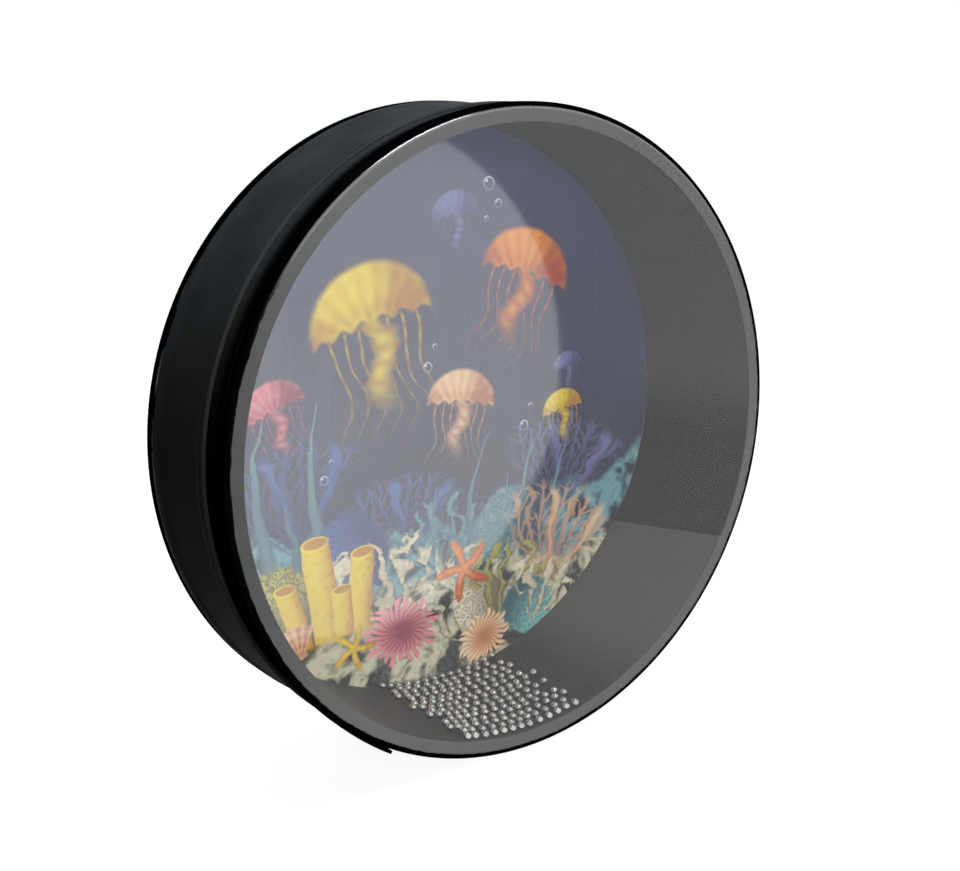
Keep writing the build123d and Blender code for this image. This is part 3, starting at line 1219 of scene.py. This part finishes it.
# %% [markdown]
# ## Vinyl finish
#
# The vinyl is nearly black with a cool slate cast, matt, with a fine leather-like grain.
# Painted shade makes it darker down the side than on top. Dust sits in it as pale specks,
# small pits are darker, and the folded edges are a little paler.

# %% Vinyl material
matt_vinyl, tree, surface = new_finish("matt_vinyl")
here = place_on_piece(tree)
x, y, z = apart(tree, here)
grain = cells(tree, here, 900)
fine = noise(tree, here, 1500, 3)
cloud = noise(tree, here, 45, 4)
dust = cells(tree, here, 260).step(0.10, 0.03) * noise(tree, here, 60, 2).step(0.45, 0.65)
elsewhere = together(tree, x + 0.3, y, z)
pits = cells(tree, elsewhere, 240).step(0.12, 0.05) * noise(tree, here, 110, 2).step(0.5, 0.7)
hems = (y - WRAP_FRONT).step(0.0016, 0.0004).most((y - WRAP_REAR).step(-0.0045, -0.0020))
colour = mix(tree, cloud.step(0.3, 0.75), (0.028, 0.032, 0.036, 1), (0.042, 0.047, 0.053, 1))
# Painted shade: the colour darkens down the side, below the top.
colour = mix(tree, z.step(0.11, -0.01) * 0.7, colour, (0.004, 0.005, 0.005, 1))
colour = mix(tree, hems * 0.3, colour, (0.054, 0.053, 0.051, 1))
colour = mix(tree, dust * 0.4, colour, grey(0.10))
colour = mix(tree, pits * 0.8, colour, (0.006, 0.007, 0.007, 1))
principled(
    tree,
    surface,
    Base_Color=colour,
    Roughness=cloud * 0.15 + fine * 0.1 + 0.48,
    Specular_IOR_Level=0.003,
    Normal=bump(tree, grain * 0.7 + fine * 0.6 + cloud * 2.0 - pits * 2.0, 0.00010),
)
dress(wrap, matt_vinyl, "wrap_vinyl", "drum", "side_wrap")

# %% [markdown]
# ## Beads
#
# The beads are steel shot, about as large as a peppercorn. One is modelled: a ball of
# eighty faces with its two poles ground slightly flat, shaded smooth. There are nearly
# two hundred of them, so few faces are enough.

# %% One bead
BEAD_RADIUS = 0.00175
GROUND_FLAT = 0.985

bpy.ops.object.select_all(action="DESELECT")
bpy.ops.mesh.primitive_ico_sphere_add(subdivisions=2, radius=BEAD_RADIUS)
shot = fresh_piece("bead")
select_only(shot, "VERT", lambda v: abs(v.co.z) > 0.97 * BEAD_RADIUS)
bpy.ops.transform.resize(value=(1, 1, GROUND_FLAT), center_override=(0, 0, 0))
bpy.ops.object.mode_set(mode="OBJECT")
print("bead", len(shot.data.polygons), "faces")

# %% [markdown]
# ## Steel
#
# Tumbled steel is bright but not a mirror. Some beads are a little darker than others,
# which slow noise gives them, and faint tarnish blurs what they mirror.

# %% Bead finish
polished_steel, tree, surface = new_finish("polished_steel")
here = place_on_piece(tree)
tarnish = noise(tree, here, 500, 3)
tint = noise(tree, here, 170, 1)
principled(
    tree,
    surface,
    Base_Color=mix(tree, tint.step(0.3, 0.7), (0.48, 0.49, 0.48, 1), (0.66, 0.67, 0.65, 1)),
    Metallic=1.0,
    Roughness=tarnish.step(0.35, 0.8) * 0.10 + 0.19,
    Normal=bump(tree, tarnish, 0.00002),
)
print("steel ready")

# %% [markdown]
# ## Lanes of beads
#
# The bead is copied to the place of each bead in the CAD model, turned by uneven amounts
# so that no two look alike, and each lane's beads are joined, because a lane rolls as
# one. A ball's place is the middle of its own corners in the CAD mesh, where a bead is
# twenty loose triangles. It is moved out by less than half a millimetre, so that the
# round ball touches the hoop, and a little to and fro in its lane.

# %% Lanes of beads
LANES = 14
CORNERS_PER_BEAD = 60
TO_AND_FRO = 0.00024


def bead_places(node):
    """The middle of each bead of a CAD lane, moved out to the hoop."""
    corners = [v.co for v in node.data.vertices]
    starts = range(0, len(corners), CORNERS_PER_BEAD)
    groups = [corners[start : start + CORNERS_PER_BEAD] for start in starts]
    middles = [sum(group, Vector()) / len(group) for group in groups]
    grow = (HOOP_INNER - BEAD_RADIUS) / hypot(middles[0].x, middles[0].z)
    return [Vector((middle.x * grow, middle.y, middle.z * grow)) for middle in middles]


total = 0
for lane in range(1, LANES + 1):
    name = f"bead_lane_{lane:02d}"
    copies = []
    for number, place in enumerate(bead_places(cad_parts[name])):
        bpy.ops.object.select_all(action="DESELECT")
        shot.select_set(True)
        bpy.context.view_layer.objects.active = shot
        bpy.ops.object.duplicate(linked=False)
        copy = bpy.context.object
        copy.location = place + Vector((0, TO_AND_FRO * sin(7.1 * number + 3.3 * lane), 0))
        copy.rotation_euler = (lane * 1.7 + number * 2.3, number * 0.9, lane * 0.6)
        copies.append(copy)
    bpy.ops.object.select_all(action="DESELECT")
    for copy in copies:
        copy.select_set(True)
    bpy.context.view_layer.objects.active = copies[0]
    bpy.ops.object.join()
    beads = fresh_piece(f"steel_beads_{lane:02d}")
    dress(beads, polished_steel, "bead_steel", name, name, smooth=180)
    total += len(copies)
bpy.data.objects.remove(shot)
print("beads", total)
